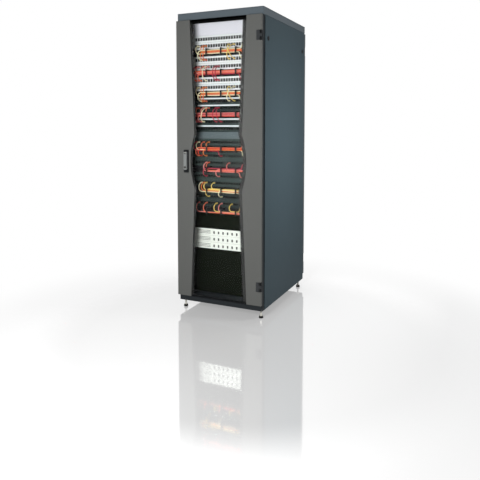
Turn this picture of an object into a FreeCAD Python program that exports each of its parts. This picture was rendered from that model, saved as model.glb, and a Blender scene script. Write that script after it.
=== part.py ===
"""Network server rack cabinet: steel frame, glass front door, rear door, side panels, 19-inch contents.

Millimetres, +Z up, z = 0 on the floor, front towards -Y, centred on the cabinet's bounding box.
"""

import math
import os

import FreeCAD
import Part

Vec = FreeCAD.Vector

# Driving dimensions: cabinet
WIDTH = 600.0
DEPTH = 800.0
BODY_HEIGHT = 1866.0
FOOT_HEIGHT = 55.0
BASE_HEIGHT = 38.0
HOOD_FRONT_HEIGHT = 48.0
HOOD_SIDE_HEIGHT = 44.0
ROOF_THICKNESS = 4.0
ROOF_GROOVE = 1.6
SHEET = 1.6

# Driving dimensions: doors
DOOR_GAP = 2.0
DOOR_DEPTH = 18.0
DOOR_HALF_WIDTH = 296.0
HANDLE_OUT = 23.5
REAR_KNOB_OUT = 6.0
GLASS_HALF_WIDTH = 220.0
GLASS_THICKNESS = 4.0
WINDOW_HALF_WIDTH_END = 197.0
WINDOW_HALF_WIDTH_WAIST = 166.5
WINDOW_HALF_WIDTH_BULGE = 196.5
WAIST_LOW = 748.0
WAIST_HIGH = 1095.0
BULGE_HEIGHT = 921.0

# Driving dimensions: 19-inch field
RACK_UNIT = 44.45
FIRST_UNIT_BOTTOM = 43.1
UNIT_COUNT = 40
PANEL_HALF_WIDTH = 241.3
PANEL_HEIGHT = 43.6
PANEL_SETBACK = 92.0
PANEL_THICKNESS = 2.0
RAIL_INNER = 226.0
RAIL_OUTER = 258.0
SCREW_HALF_SPAN = 232.55

# Driving dimensions: patch cords
CORD_DIAMETER = 5.6
CORD_PITCH = 6.7
RING_POSITIONS = (-220.5, -103.0, 0.0, 103.0, 220.5)

# Planes worked out from the above; the body is set so that the whole box is centred on Y
FRONT_OUT = DOOR_GAP + DOOR_DEPTH + HANDLE_OUT
REAR_OUT = DOOR_GAP + DOOR_DEPTH + REAR_KNOB_OUT
Y_FRONT = FRONT_OUT - (DEPTH + FRONT_OUT + REAR_OUT) / 2
Y_REAR = Y_FRONT + DEPTH
Y_DOOR_BACK = Y_FRONT - DOOR_GAP
Y_DOOR_FACE = Y_DOOR_BACK - DOOR_DEPTH
Y_REAR_DOOR_FACE = Y_REAR + DOOR_GAP + DOOR_DEPTH
Y_PANEL = Y_FRONT + PANEL_SETBACK
Y_RAIL = Y_PANEL + PANEL_THICKNESS
Z_BODY = FOOT_HEIGHT
Z_TOP = Z_BODY + BODY_HEIGHT
Z_DOOR_LOW = Z_BODY + BASE_HEIGHT
Z_DOOR_HIGH = Z_TOP - HOOD_FRONT_HEIGHT - 1.0

RUNNING = 0.05


def box(x0, x1, y0, y1, z0, z1):
    """A block between two corners, given in any order."""
    low = Vec(min(x0, x1), min(y0, y1), min(z0, z1))
    return Part.makeBox(abs(x1 - x0), abs(y1 - y0), abs(z1 - z0), low)


def cylinder(radius, start, axis, length):
    return Part.makeCylinder(radius, length, Vec(*start), Vec(*axis))


def tube_along(axis, x0, x1, y0, y1, z0, z1, wall):
    """A rectangular tube, open at both ends along the named axis."""
    grow = {"x": (0, wall, wall), "y": (wall, 0, wall), "z": (wall, wall, 0)}[axis]
    inner = box(x0 + grow[0], x1 - grow[0], y0 + grow[1], y1 - grow[1], z0 + grow[2], z1 - grow[2])
    return box(x0, x1, y0, y1, z0, z1).cut(inner)


def round_edges(shape, radius, test):
    """Fillets the straight edges whose middle point and direction pass the test."""
    chosen = []
    for edge in shape.Edges:
        if len(edge.Vertexes) != 2:
            continue
        first, last = (v.Point for v in edge.Vertexes)
        if test(first.add(last).multiply(0.5), last.sub(first)):
            chosen.append(edge)
    return shape.makeFillet(radius, chosen)


def vertical(direction):
    return abs(direction.x) < 1e-6 and abs(direction.y) < 1e-6


def mirror_x(shape):
    return shape.mirror(Vec(0, 0, 0), Vec(1, 0, 0))


def mirror_y(shape):
    return shape.mirror(Vec(0, (Y_FRONT + Y_REAR) / 2, 0), Vec(0, 1, 0))


def unit_middle(unit):
    """Height of the middle of a rack unit, counted from 1 at the bottom."""
    return Z_BODY + FIRST_UNIT_BOTTOM + RACK_UNIT * (unit - 0.5)


def save(name, *solids):
    shape = solids[0] if len(solids) == 1 else Part.makeCompound(list(solids))
    for solid in shape.Solids:
        assert solid.isValid() and solid.Volume > 0, name
    shape.exportStep(f"parts/{name}.step")
    print(f"{name}: {len(shape.Solids)} solids, {shape.Volume / 1000:.1f} cm3")


# Base frame, levelling feet and lock nuts
FOOT_X = 272.0
FOOT_INSET_Y = 40.0
FOOT_PAD_RADIUS = 14.5
FOOT_PAD_HEIGHT = 15.0
STEM_RADIUS = 6.0
STEM_RISE = 45.0
BASE_HALF_WIDTH = 296.0
BASE_MEMBER_DEPTH = 80.0
BASE_SIDE_WIDTH = 40.0
BASE_WALL = 2.5
BOSS_RADIUS = 14.0
NUT_RADIUS = 11.0
NUT_HEIGHT = 8.0
CORNER_RADIUS = 10.0
CASTOR_HALF_SPAN = 210.0
CASTOR_INSET_Y = 40.0
CASTOR_HOLE_RADIUS = 6.5


def foot_places():
    for end, y in (("front", Y_FRONT + FOOT_INSET_Y), ("rear", Y_REAR - FOOT_INSET_Y)):
        for side, x in (("left", -FOOT_X), ("right", FOOT_X)):
            yield f"{end}_{side}", x, y


def base_end_member():
    """The front member: a folded tray, open below, with bosses for the feet and two fixing holes."""
    y1 = Y_FRONT + BASE_MEMBER_DEPTH
    outer = box(-BASE_HALF_WIDTH, BASE_HALF_WIDTH, Y_FRONT, y1, Z_BODY, Z_DOOR_LOW)
    outer = round_edges(outer, CORNER_RADIUS, lambda m, d: vertical(d) and m.y < Y_FRONT + 1)
    inset = BASE_HALF_WIDTH - BASE_WALL
    hollow = box(-inset, inset, Y_FRONT + BASE_WALL, y1 - BASE_WALL, Z_BODY, Z_DOOR_LOW - BASE_WALL)
    member = outer.cut(hollow)
    foot_y = Y_FRONT + FOOT_INSET_Y
    for x in (-FOOT_X, FOOT_X):
        member = member.fuse(cylinder(BOSS_RADIUS, (x, foot_y, Z_BODY), (0, 0, 1), BASE_HEIGHT))
        member = member.cut(cylinder(STEM_RADIUS + RUNNING, (x, foot_y, Z_BODY), (0, 0, 1), BASE_HEIGHT))
    for x in (-CASTOR_HALF_SPAN, CASTOR_HALF_SPAN):
        top = (x, Y_FRONT + CASTOR_INSET_Y, Z_DOOR_LOW - 2 * BASE_WALL)
        member = member.cut(cylinder(CASTOR_HOLE_RADIUS, top, (0, 0, 1), 4 * BASE_WALL))
    return member


def make_base():
    front = base_end_member()
    y0, y1 = Y_FRONT + BASE_MEMBER_DEPTH, Y_REAR - BASE_MEMBER_DEPTH
    inner = BASE_HALF_WIDTH - BASE_SIDE_WIDTH
    side = tube_along("y", inner, BASE_HALF_WIDTH, y0, y1, Z_BODY, Z_DOOR_LOW, BASE_WALL)
    save("base_frame", front, mirror_y(front), side, mirror_x(side))


def make_feet():
    nuts = []
    for name, x, y in foot_places():
        pad = Part.makeCone(FOOT_PAD_RADIUS, FOOT_PAD_RADIUS - 2.5, FOOT_PAD_HEIGHT, Vec(x, y, 0))
        stem_length = Z_BODY + STEM_RISE - FOOT_PAD_HEIGHT
        stem = cylinder(STEM_RADIUS, (x, y, FOOT_PAD_HEIGHT), (0, 0, 1), stem_length)
        save(f"levelling_foot_{name}", pad.fuse(stem))
        low = Z_BODY - NUT_HEIGHT
        angles = [k * math.pi / 3 for k in range(6)]
        corners = [Vec(x + NUT_RADIUS * math.cos(a), y + NUT_RADIUS * math.sin(a), low) for a in angles]
        hexagon = Part.Face(Part.makePolygon(corners + corners[:1])).extrude(Vec(0, 0, NUT_HEIGHT))
        nuts.append(hexagon.cut(cylinder(STEM_RADIUS + RUNNING, (x, y, low), (0, 0, 1), NUT_HEIGHT)))
    save("foot_lock_nuts", *nuts)


# Top frame, roof and corner posts
TOP_FRAME_TOP = Z_TOP - ROOF_THICKNESS
HOOD_DEPTH = 30.0
HOOD_SHEET = 3.0
HOOD_WALL = 2.5
HOOD_SIDE_WIDTH = 30.0
POST_OUTER = 296.0
POST_WIDTH = 34.0
POST_DEPTH = 28.0
POST_WALL = 2.0
CABLE_ENTRY_HALF_X = 150.0
CABLE_ENTRY_Y = 60.0
CABLE_ENTRY_OFF = 230.0
LIFTING_EYE_X = 240.0
LIFTING_EYE_INSET_Y = 60.0
LIFTING_EYE_RADIUS = 6.5


def hood_end(height):
    """An end of the hood: a rounded fascia with a flange under the roof plate, open behind and below."""
    y1 = Y_FRONT + HOOD_DEPTH
    low = Z_TOP - height
    skin_top = TOP_FRAME_TOP - ROOF_GROOVE
    outer = box(-WIDTH / 2, WIDTH / 2, Y_FRONT, y1, low, skin_top)
    outer = round_edges(outer, CORNER_RADIUS, lambda m, d: vertical(d) and m.y < Y_FRONT + 1)
    inset = WIDTH / 2 - HOOD_SHEET
    hollow = box(-inset, inset, Y_FRONT + HOOD_SHEET, y1, low, skin_top - HOOD_SHEET)
    shelf = box(-inset, inset, Y_FRONT + HOOD_SHEET, y1, skin_top, TOP_FRAME_TOP)
    return outer.cut(hollow).fuse(shelf)


def make_top_frame():
    front = hood_end(HOOD_FRONT_HEIGHT)
    rear = mirror_y(hood_end(HOOD_SIDE_HEIGHT))
    y0, y1 = Y_FRONT + HOOD_DEPTH, Y_REAR - HOOD_DEPTH
    skin_top = TOP_FRAME_TOP - ROOF_GROOVE
    x0 = WIDTH / 2 - HOOD_SIDE_WIDTH
    side = tube_along("y", x0, WIDTH / 2, y0, y1, Z_TOP - HOOD_SIDE_HEIGHT, skin_top, HOOD_WALL)
    side = side.fuse(box(x0, WIDTH / 2 - HOOD_SHEET, y0, y1, skin_top, TOP_FRAME_TOP))
    save("top_frame", front, rear, side, mirror_x(side))


def make_roof():
    """Roof plate with two cable entries and the tapped holes for lifting eyes."""
    roof = box(-WIDTH / 2, WIDTH / 2, Y_FRONT, Y_REAR, TOP_FRAME_TOP, Z_TOP)
    roof = round_edges(roof, CORNER_RADIUS, lambda m, d: vertical(d))
    middle = (Y_FRONT + Y_REAR) / 2
    for y in (middle - CABLE_ENTRY_OFF, middle + CABLE_ENTRY_OFF):
        y0, y1 = y - CABLE_ENTRY_Y / 2, y + CABLE_ENTRY_Y / 2
        roof = roof.cut(box(-CABLE_ENTRY_HALF_X, CABLE_ENTRY_HALF_X, y0, y1, TOP_FRAME_TOP, Z_TOP))
    for x in (-LIFTING_EYE_X, LIFTING_EYE_X):
        for y in (Y_FRONT + LIFTING_EYE_INSET_Y, Y_REAR - LIFTING_EYE_INSET_Y):
            place = (x, y, TOP_FRAME_TOP)
            roof = roof.cut(cylinder(LIFTING_EYE_RADIUS, place, (0, 0, 1), ROOF_THICKNESS))
    save("roof_cover", roof)


def make_posts():
    """Square tubes with a plug at the foot and a tongue up into the hood."""
    low, high = Z_DOOR_LOW, Z_TOP - HOOD_SIDE_HEIGHT
    inner = POST_OUTER - POST_WIDTH
    y1 = Y_FRONT + POST_DEPTH
    post = tube_along("z", inner, POST_OUTER, Y_FRONT, y1, low, Z_TOP - HOOD_FRONT_HEIGHT, POST_WALL)
    foot = box(inner + POST_WALL, POST_OUTER - POST_WALL, Y_FRONT + 4, y1 - POST_WALL, low, low + 4)
    tongue_top = TOP_FRAME_TOP - ROOF_GROOVE - HOOD_SHEET
    tongue = box(inner + 6, POST_OUTER - 4, Y_FRONT + 6, y1 - POST_WALL, high - 12, tongue_top)
    post = post.fuse(foot).fuse(tongue)
    rear = mirror_y(post)
    save("corner_posts_front", post, mirror_x(post))
    save("corner_posts_rear", rear, mirror_x(rear))


# Mounting rails with square holes, and the depth bars that carry them
RAIL_DEPTH = 50.0
RAIL_SHEET = 2.0
RAIL_TOP = Z_TOP - ROOF_GROOVE - ROOF_THICKNESS - 6.0
HOLE_SIDE = 9.5
BAR_HEIGHTS = (250.0, 930.0, 1610.0)
BAR_WIDTH = 20.0
BAR_TALL = 30.0
BAR_WALL = 2.0
TAB_INSET_Y = 4.0
TAB_INSET_Z = 3.0
HOLE_STEP = 15.9


def make_rails():
    """Flange towards the door with three square holes in every unit, and a web running back."""
    flange = box(RAIL_INNER, RAIL_OUTER, Y_RAIL, Y_RAIL + RAIL_SHEET, Z_DOOR_LOW, RAIL_TOP)
    web = box(RAIL_OUTER - RAIL_SHEET, RAIL_OUTER, Y_RAIL, Y_RAIL + RAIL_DEPTH, Z_DOOR_LOW, RAIL_TOP)
    holes = []
    for unit in range(1, UNIT_COUNT + 1):
        for step in (-1, 0, 1):
            z = unit_middle(unit) + step * HOLE_STEP
            holes.append(box(SCREW_HALF_SPAN - HOLE_SIDE / 2, SCREW_HALF_SPAN + HOLE_SIDE / 2,
                             Y_RAIL, Y_RAIL + RAIL_SHEET, z - HOLE_SIDE / 2, z + HOLE_SIDE / 2))
    rail = flange.fuse(web).cut(Part.makeCompound(holes))
    save("rack_rail_front_right", rail)
    save("rack_rail_front_left", mirror_x(rail))
    save("rack_rail_rear_right", mirror_y(rail))
    save("rack_rail_rear_left", mirror_x(mirror_y(rail)))


def make_depth_bars():
    """Tubes from post to post, each with a tab to the front rail and one to the rear rail."""
    bars = []
    x0 = POST_OUTER - POST_WIDTH
    y0, y1 = Y_FRONT + POST_DEPTH, Y_REAR - POST_DEPTH
    rear_rail = Y_FRONT + Y_REAR - Y_RAIL - RAIL_DEPTH
    for height in BAR_HEIGHTS:
        z0 = Z_BODY + height
        z1 = z0 + BAR_TALL
        bar = tube_along("y", x0, x0 + BAR_WIDTH, y0, y1, z0, z1, BAR_WALL)
        for y in (Y_RAIL, rear_rail):
            tab = box(RAIL_OUTER, x0, y + TAB_INSET_Y, y + RAIL_DEPTH - TAB_INSET_Y,
                      z0 + TAB_INSET_Z, z1 - TAB_INSET_Z)
            bar = bar.fuse(tab)
        bars += [bar, mirror_x(bar)]
    save("rail_depth_bars", *bars)


# Front door
STILE_TUBE_INNER = 222.0
STILE_SKIN = 1.5
END_CHANNEL = 11.0
HINGE_AXIS_X = 291.0
HINGE_AXIS_Y = Y_FRONT - 11.0
HINGE_HEIGHTS = (157.0, 1693.0)
HINGE_TALL = 60.0
HINGE_PLATE = 1.5
KNUCKLE_GAP = 0.3
BRACKET_HALF_WIDTH = 4.5
NOTCH_X = 283.0
KNUCKLE_RADIUS = 5.5
PIN_RADIUS = 3.0
LEAF_X = 262.0
HANDLE_X = -226.0
HANDLE_LOW = 849.0
HANDLE_HIGH = 996.0
HANDLE_HALF_WIDTH = 17.0
HANDLE_BASE_OUT = 7.0
SPINDLE_RADIUS = 6.0
SPINDLE_HEIGHT = 977.0
LEVER_PIN_OUT = 14.0
LEVER_HALF_WIDTH = 11.0
LEVER_HALF_DEPTH = 6.0
EYE_RADIUS = 5.0
EYE_HALF_WIDTH = 6.5
LEVER_PIN_RADIUS = 2.0
LEVER_LOW = 868.0
CYLINDER_HEIGHT = 884.0
CYLINDER_RADIUS = 8.0


def window_edge():
    """The window's side as (half width, height) points; the middle stretch is an arc through its bulge."""
    return {
        "low": (WINDOW_HALF_WIDTH_END, Z_DOOR_LOW),
        "waist_low": (WINDOW_HALF_WIDTH_WAIST, Z_BODY + WAIST_LOW),
        "bulge": (WINDOW_HALF_WIDTH_BULGE, Z_BODY + BULGE_HEIGHT),
        "waist_high": (WINDOW_HALF_WIDTH_WAIST, Z_BODY + WAIST_HIGH),
        "high": (WINDOW_HALF_WIDTH_END, Z_DOOR_HIGH),
    }


def stile_skin():
    """The right stile's front sheet, cut to the window's curved edge."""
    edge = {name: Vec(x, Y_DOOR_FACE, z) for name, (x, z) in window_edge().items()}
    outer_low = Vec(DOOR_HALF_WIDTH, Y_DOOR_FACE, Z_DOOR_LOW)
    outer_high = Vec(DOOR_HALF_WIDTH, Y_DOOR_FACE, Z_DOOR_HIGH)
    edges = [
        Part.makeLine(outer_low, edge["low"]),
        Part.makeLine(edge["low"], edge["waist_low"]),
        Part.Arc(edge["waist_low"], edge["bulge"], edge["waist_high"]).toShape(),
        Part.makeLine(edge["waist_high"], edge["high"]),
        Part.makeLine(edge["high"], outer_high),
        Part.makeLine(outer_high, outer_low),
    ]
    return Part.Face(Part.Wire(edges)).extrude(Vec(0, STILE_SKIN, 0))


def stile():
    tube = tube_along("z", STILE_TUBE_INNER, DOOR_HALF_WIDTH, Y_DOOR_FACE, Y_DOOR_BACK,
                      Z_DOOR_LOW, Z_DOOR_HIGH, STILE_SKIN)
    return stile_skin().fuse(tube).removeSplitter()


def hinge_span(height):
    return Z_BODY + height - HINGE_TALL / 2, Z_BODY + height + HINGE_TALL / 2


def make_stiles():
    right = stile()
    for height in HINGE_HEIGHTS:
        low, high = hinge_span(height)
        right = right.cut(box(NOTCH_X, DOOR_HALF_WIDTH, Y_DOOR_FACE, Y_DOOR_BACK, low - 1, high + 1))
    save("door_stile_right", right)
    left = mirror_x(stile())
    bore = cylinder(SPINDLE_RADIUS + RUNNING, (HANDLE_X, Y_DOOR_FACE - 1, Z_BODY + SPINDLE_HEIGHT),
                    (0, 1, 0), DOOR_DEPTH + 2)
    save("door_stile_left", left.cut(bore))


def make_glass():
    y0 = Y_DOOR_FACE + STILE_SKIN
    glass = box(-GLASS_HALF_WIDTH, GLASS_HALF_WIDTH, y0, y0 + GLASS_THICKNESS, Z_DOOR_LOW, Z_DOOR_HIGH)
    save("door_glass", glass)
    channels = []
    for z in (Z_DOOR_LOW, Z_DOOR_HIGH - END_CHANNEL):
        x = STILE_TUBE_INNER
        channels.append(box(-x, x, y0 + GLASS_THICKNESS, Y_DOOR_BACK, z, z + END_CHANNEL))
    save("door_end_channels", *channels)


def hinge_leaf(height):
    """The door's half: a plate on the door's face, and a knuckle round the pin."""
    low, high = hinge_span(height)
    third = HINGE_TALL / 3
    z0, z1 = low + third + KNUCKLE_GAP, high - third - KNUCKLE_GAP
    face_plate = box(LEAF_X, NOTCH_X + 0.5, Y_DOOR_FACE - HINGE_PLATE, Y_DOOR_FACE, low, high)
    arm = box(NOTCH_X + 0.2, HINGE_AXIS_X, Y_DOOR_FACE - HINGE_PLATE, HINGE_AXIS_Y - 1, z0, z1)
    knuckle = cylinder(KNUCKLE_RADIUS, (HINGE_AXIS_X, HINGE_AXIS_Y, z0), (0, 0, 1), z1 - z0)
    leaf = face_plate.fuse(arm).fuse(knuckle)
    return leaf.cut(cylinder(PIN_RADIUS + RUNNING, (HINGE_AXIS_X, HINGE_AXIS_Y, low), (0, 0, 1), HINGE_TALL))


def hinge_bracket(height):
    """The frame's half: two knuckles on a block fixed to the corner post, with the pin through them."""
    low, high = hinge_span(height)
    third = HINGE_TALL / 3
    bracket = cylinder(PIN_RADIUS, (HINGE_AXIS_X, HINGE_AXIS_Y, low), (0, 0, 1), HINGE_TALL)
    for z in (low, high - third):
        knuckle = cylinder(KNUCKLE_RADIUS, (HINGE_AXIS_X, HINGE_AXIS_Y, z), (0, 0, 1), third)
        block = box(HINGE_AXIS_X - BRACKET_HALF_WIDTH, HINGE_AXIS_X + BRACKET_HALF_WIDTH,
                    HINGE_AXIS_Y, Y_FRONT, z, z + third)
        bracket = bracket.fuse(knuckle).fuse(block)
    return bracket


def make_hinges():
    leaves = [hinge_leaf(height) for height in HINGE_HEIGHTS]
    brackets = [hinge_bracket(height) for height in HINGE_HEIGHTS]
    save("door_hinge_leaves", *leaves)
    save("rear_hinge_leaves", *[mirror_y(leaf) for leaf in leaves])
    save("hinge_brackets", *brackets, *[mirror_y(bracket) for bracket in brackets])


def make_handle():
    """Swing handle: a base, a turning spindle with an eye, and a lever pinned to the eye."""
    low, high = Z_BODY + HANDLE_LOW, Z_BODY + HANDLE_HIGH
    spindle_z = Z_BODY + SPINDLE_HEIGHT
    y_base = Y_DOOR_FACE - HANDLE_BASE_OUT
    y_pin = Y_DOOR_FACE - LEVER_PIN_OUT
    base = box(HANDLE_X - HANDLE_HALF_WIDTH, HANDLE_X + HANDLE_HALF_WIDTH, y_base, Y_DOOR_FACE, low, high)
    base = round_edges(base, 5.0, lambda m, d: abs(d.x) < 1e-6 and abs(d.z) < 1e-6)
    bore = cylinder(SPINDLE_RADIUS + RUNNING, (HANDLE_X, y_base, spindle_z), (0, 1, 0), HANDLE_BASE_OUT)
    save("handle_base", base.cut(bore))

    cam_y = Y_DOOR_BACK + 4.0
    spindle = cylinder(SPINDLE_RADIUS, (HANDLE_X, y_pin + 2, spindle_z), (0, 1, 0), cam_y - y_pin - 2)
    eye_start = (HANDLE_X - EYE_HALF_WIDTH, y_pin, spindle_z)
    eye = cylinder(EYE_RADIUS, eye_start, (1, 0, 0), 2 * EYE_HALF_WIDTH)
    neck = box(HANDLE_X - EYE_RADIUS, HANDLE_X + EYE_RADIUS, y_pin, y_pin + 6.0,
               spindle_z - EYE_RADIUS, spindle_z + EYE_RADIUS)
    pin_bore = cylinder(LEVER_PIN_RADIUS + RUNNING, (HANDLE_X - 10, y_pin, spindle_z), (1, 0, 0), 20)
    save("handle_spindle", spindle.fuse(eye).fuse(neck).cut(pin_bore))
    cam = box(HANDLE_X - 32.0, HANDLE_X + 9.0, cam_y, cam_y + 3.0, spindle_z - 9.0, spindle_z + 9.0)
    save("latch_cam", cam)

    front, back = y_pin - LEVER_HALF_DEPTH, y_pin + LEVER_HALF_DEPTH
    lever_low = Z_BODY + LEVER_LOW
    left, width = HANDLE_X - LEVER_HALF_WIDTH, 2 * LEVER_HALF_WIDTH
    bar = box(left, left + width, front, back, lever_low, spindle_z)
    top = cylinder(LEVER_HALF_DEPTH, (left, y_pin, spindle_z), (1, 0, 0), width)
    bar = bar.fuse(top).removeSplitter()
    slot_half = EYE_HALF_WIDTH + 0.2
    slot = box(HANDLE_X - slot_half, HANDLE_X + slot_half, front - 1, back + 1,
               spindle_z - 7.5, spindle_z + 8)
    pin = cylinder(LEVER_PIN_RADIUS, (left + 1, y_pin, spindle_z), (1, 0, 0), width - 2)
    lever = round_edges(bar, 6.0, lambda m, d: abs(d.x) < 1e-6 and abs(d.z) < 1e-6 and m.z < lever_low + 1)
    lock_z = Z_BODY + CYLINDER_HEIGHT
    lock_bore = cylinder(CYLINDER_RADIUS, (HANDLE_X, front - 1, lock_z), (0, 1, 0), 14)
    save("handle_lever", lever.cut(slot).fuse(pin).cut(lock_bore))
    plug = cylinder(CYLINDER_RADIUS, (HANDLE_X, front - 3.5, lock_z), (0, 1, 0), 15.0)
    key_slot = box(HANDLE_X - 0.8, HANDLE_X + 0.8, front - 3.5, front - 0.5, lock_z - 4, lock_z + 4)
    save("handle_lock_cylinder", plug.cut(key_slot))


# Rear door and its lock
REAR_LOCK_X = -268.0
REAR_LOCK_HEIGHT = 921.0
KNOB_RADIUS = 15.0
STIFFENER_X = (-180.0, 150.0)
STIFFENER_WIDTH = 30.0


def make_rear_door():
    """A folded steel tray with two upright hollow stiffeners."""
    y0 = Y_REAR + DOOR_GAP
    inset = DOOR_HALF_WIDTH - SHEET
    skin = Y_REAR_DOOR_FACE - SHEET
    z0, z1 = Z_DOOR_LOW + SHEET, Z_DOOR_HIGH - SHEET
    door = box(-DOOR_HALF_WIDTH, DOOR_HALF_WIDTH, y0, Y_REAR_DOOR_FACE, Z_DOOR_LOW, Z_DOOR_HIGH)
    door = door.cut(box(-inset, inset, y0, skin, z0, z1))
    for x in STIFFENER_X:
        door = door.fuse(tube_along("z", x, x + STIFFENER_WIDTH, y0 + 2, skin, z0, z1, SHEET))
    for height in HINGE_HEIGHTS:
        low, high = hinge_span(height)
        door = door.cut(box(NOTCH_X, DOOR_HALF_WIDTH, y0, Y_REAR_DOOR_FACE, low - 1, high + 1))
    z = Z_BODY + REAR_LOCK_HEIGHT
    door = door.cut(cylinder(SPINDLE_RADIUS + RUNNING, (REAR_LOCK_X, Y_REAR, z), (0, 1, 0), 40))
    save("rear_door", door)
    length = Y_REAR_DOOR_FACE - Y_REAR - 4
    knob = cylinder(KNOB_RADIUS, (REAR_LOCK_X, Y_REAR_DOOR_FACE, z), (0, 1, 0), REAR_KNOB_OUT)
    knob = knob.fuse(cylinder(SPINDLE_RADIUS, (REAR_LOCK_X, Y_REAR + 4, z), (0, 1, 0), length))
    knob = knob.fuse(box(REAR_LOCK_X - 8, REAR_LOCK_X + 8, Y_REAR + 4, Y_REAR + 7, z - 34, z + 8))
    knob_face = Y_REAR_DOOR_FACE + REAR_KNOB_OUT
    slot = box(REAR_LOCK_X - 2, REAR_LOCK_X + 2, knob_face - 3, knob_face, z - 10, z + 10)
    save("rear_lock", knob.cut(slot))


# Side panels and their quarter-turn locks
PANEL_INNER_FACE = 298.4
PANEL_FRONT_INSET = 30.5
PANEL_REAR_INSET = 12.0
PANEL_EDGE = 1.2
SIDE_LOCK_HEIGHT = 1685.0
SIDE_LOCK_RADIUS = 14.0
SIDE_LOCK_OUT = 2.0
LOCK_SHAFT_RADIUS = 7.0
LOCK_SHAFT_LENGTH = 14.0
LOCK_CAM = 3.0


def side_lock_places():
    return (("front", Y_FRONT + 78.0), ("rear", Y_REAR - 60.0))


def make_side_panels():
    x1 = WIDTH / 2
    y0, y1 = Y_FRONT + PANEL_FRONT_INSET, Y_REAR - PANEL_REAR_INSET
    panel = box(PANEL_INNER_FACE, x1, y0, y1, Z_BODY + 3, Z_TOP - HOOD_SIDE_HEIGHT - 2)
    panel = round_edges(panel, PANEL_EDGE, lambda m, d: vertical(d) and m.x > x1 - 0.1)
    z = Z_BODY + SIDE_LOCK_HEIGHT
    for _, y in side_lock_places():
        bore = cylinder(LOCK_SHAFT_RADIUS + RUNNING, (PANEL_INNER_FACE - 1, y, z), (1, 0, 0), 6)
        panel = panel.cut(bore)
    save("side_panel_right", panel)
    save("side_panel_left", mirror_x(panel))
    for end, y in side_lock_places():
        lock = cylinder(SIDE_LOCK_RADIUS, (x1, y, z), (1, 0, 0), SIDE_LOCK_OUT)
        end_x = PANEL_INNER_FACE - LOCK_SHAFT_LENGTH
        lock = lock.fuse(cylinder(LOCK_SHAFT_RADIUS, (end_x, y, z), (1, 0, 0), x1 - end_x))
        lock = lock.fuse(box(end_x, end_x + LOCK_CAM, y - 8, y + 8, z - 30, z + 8))
        lock = lock.cut(box(x1 + 0.8, x1 + SIDE_LOCK_OUT, y - 1.2, y + 1.2, z - 9, z + 9))
        save(f"side_lock_{end}_right", lock)
        save(f"side_lock_{end}_left", mirror_x(lock))


# Rack contents
JACK_COUNT = 24
JACK_PITCH = 18.4
JACK_FIRST_X = -JACK_PITCH * (JACK_COUNT - 1) / 2
JACK_WIDTH = 12.0
JACK_HEIGHT = 11.0
JACK_RECESS = 12.0
HOUSING_DEPTH = 30.0
SWITCH_DEPTH = 230.0
SERVER_DEPTH = 420.0
BEZEL_DEPTH = 12.0
CASE_HALF_WIDTH = 218.0
CASE_HALF_HEIGHT = 20.0
CASE_WALL = 1.5


def jack_x(number):
    """Middle of a jack, counted from 0 at the left."""
    return JACK_FIRST_X + JACK_PITCH * number


def plate(middle, height=PANEL_HEIGHT):
    return box(-PANEL_HALF_WIDTH, PANEL_HALF_WIDTH, Y_PANEL, Y_RAIL,
               middle - height / 2, middle + height / 2)


def chassis(depth, middle):
    """A sheet-metal case behind a front plate, open at the back."""
    return tube_along("y", -CASE_HALF_WIDTH, CASE_HALF_WIDTH, Y_RAIL, Y_RAIL + depth,
                      middle - CASE_HALF_HEIGHT, middle + CASE_HALF_HEIGHT, CASE_WALL)


def jack_panel(middle):
    """A front plate on a shallow housing, with one row of open jacks."""
    half_height = CASE_HALF_HEIGHT - 1
    housing = box(-CASE_HALF_WIDTH, CASE_HALF_WIDTH, Y_RAIL, Y_RAIL + HOUSING_DEPTH,
                  middle - half_height, middle + half_height)
    jacks = []
    for number in range(JACK_COUNT):
        x = jack_x(number)
        jacks.append(box(x - JACK_WIDTH / 2, x + JACK_WIDTH / 2, Y_PANEL, Y_PANEL + JACK_RECESS,
                         middle - JACK_HEIGHT / 2, middle + JACK_HEIGHT / 2))
    return plate(middle).fuse(housing).cut(Part.makeCompound(jacks))


def make_patch_panels():
    pairs = {"a": (38, 37), "b": (35, 34), "c": (32, 31), "d": (29, 28), "e": (26, 25)}
    for letter, units in pairs.items():
        save(f"patch_panels_{letter}", *[jack_panel(unit_middle(unit)) for unit in units])


def switch(unit):
    middle = unit_middle(unit)
    return jack_panel(middle).fuse(chassis(SWITCH_DEPTH, middle))


def make_switches():
    save("switch_upper", switch(23))
    save("switch_middle", switch(21), jack_panel(unit_middle(20)))
    save("switch_lower", switch(18), jack_panel(unit_middle(17)))
    save("port_panels_low", jack_panel(unit_middle(15)), jack_panel(unit_middle(14)))


# Cable managers: a plate with five open rings
RING_WIDTH = 8.0
RING_DEPTH = 72.0
RING_HALF_HEIGHT = 20.0
RING_BAR = 5.0
MANAGER_UNITS = (36, 33, 30, 27, 22, 19, 16, 13)


def cable_ring(x, middle):
    """A bracket of flat bar standing out of the plate, closed round the cords by the plate."""
    y0 = Y_PANEL - RING_DEPTH
    x0, x1 = x - RING_WIDTH / 2, x + RING_WIDTH / 2
    ring = box(x0, x1, y0, Y_PANEL, middle - RING_HALF_HEIGHT, middle + RING_HALF_HEIGHT)
    inner_half = RING_HALF_HEIGHT - RING_BAR
    return ring.cut(box(x0, x1, y0 + RING_BAR, Y_PANEL, middle - inner_half, middle + inner_half))


def make_cable_managers():
    for number, unit in enumerate(MANAGER_UNITS, start=1):
        middle = unit_middle(unit)
        rings = [cable_ring(x, middle) for x in RING_POSITIONS]
        save(f"cable_manager_{number}", plate(middle), *rings)


FOLD_DEPTH = 12.0
FOLD_SHEET = 1.5
FOLD_HALF_WIDTH = 222.0


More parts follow.
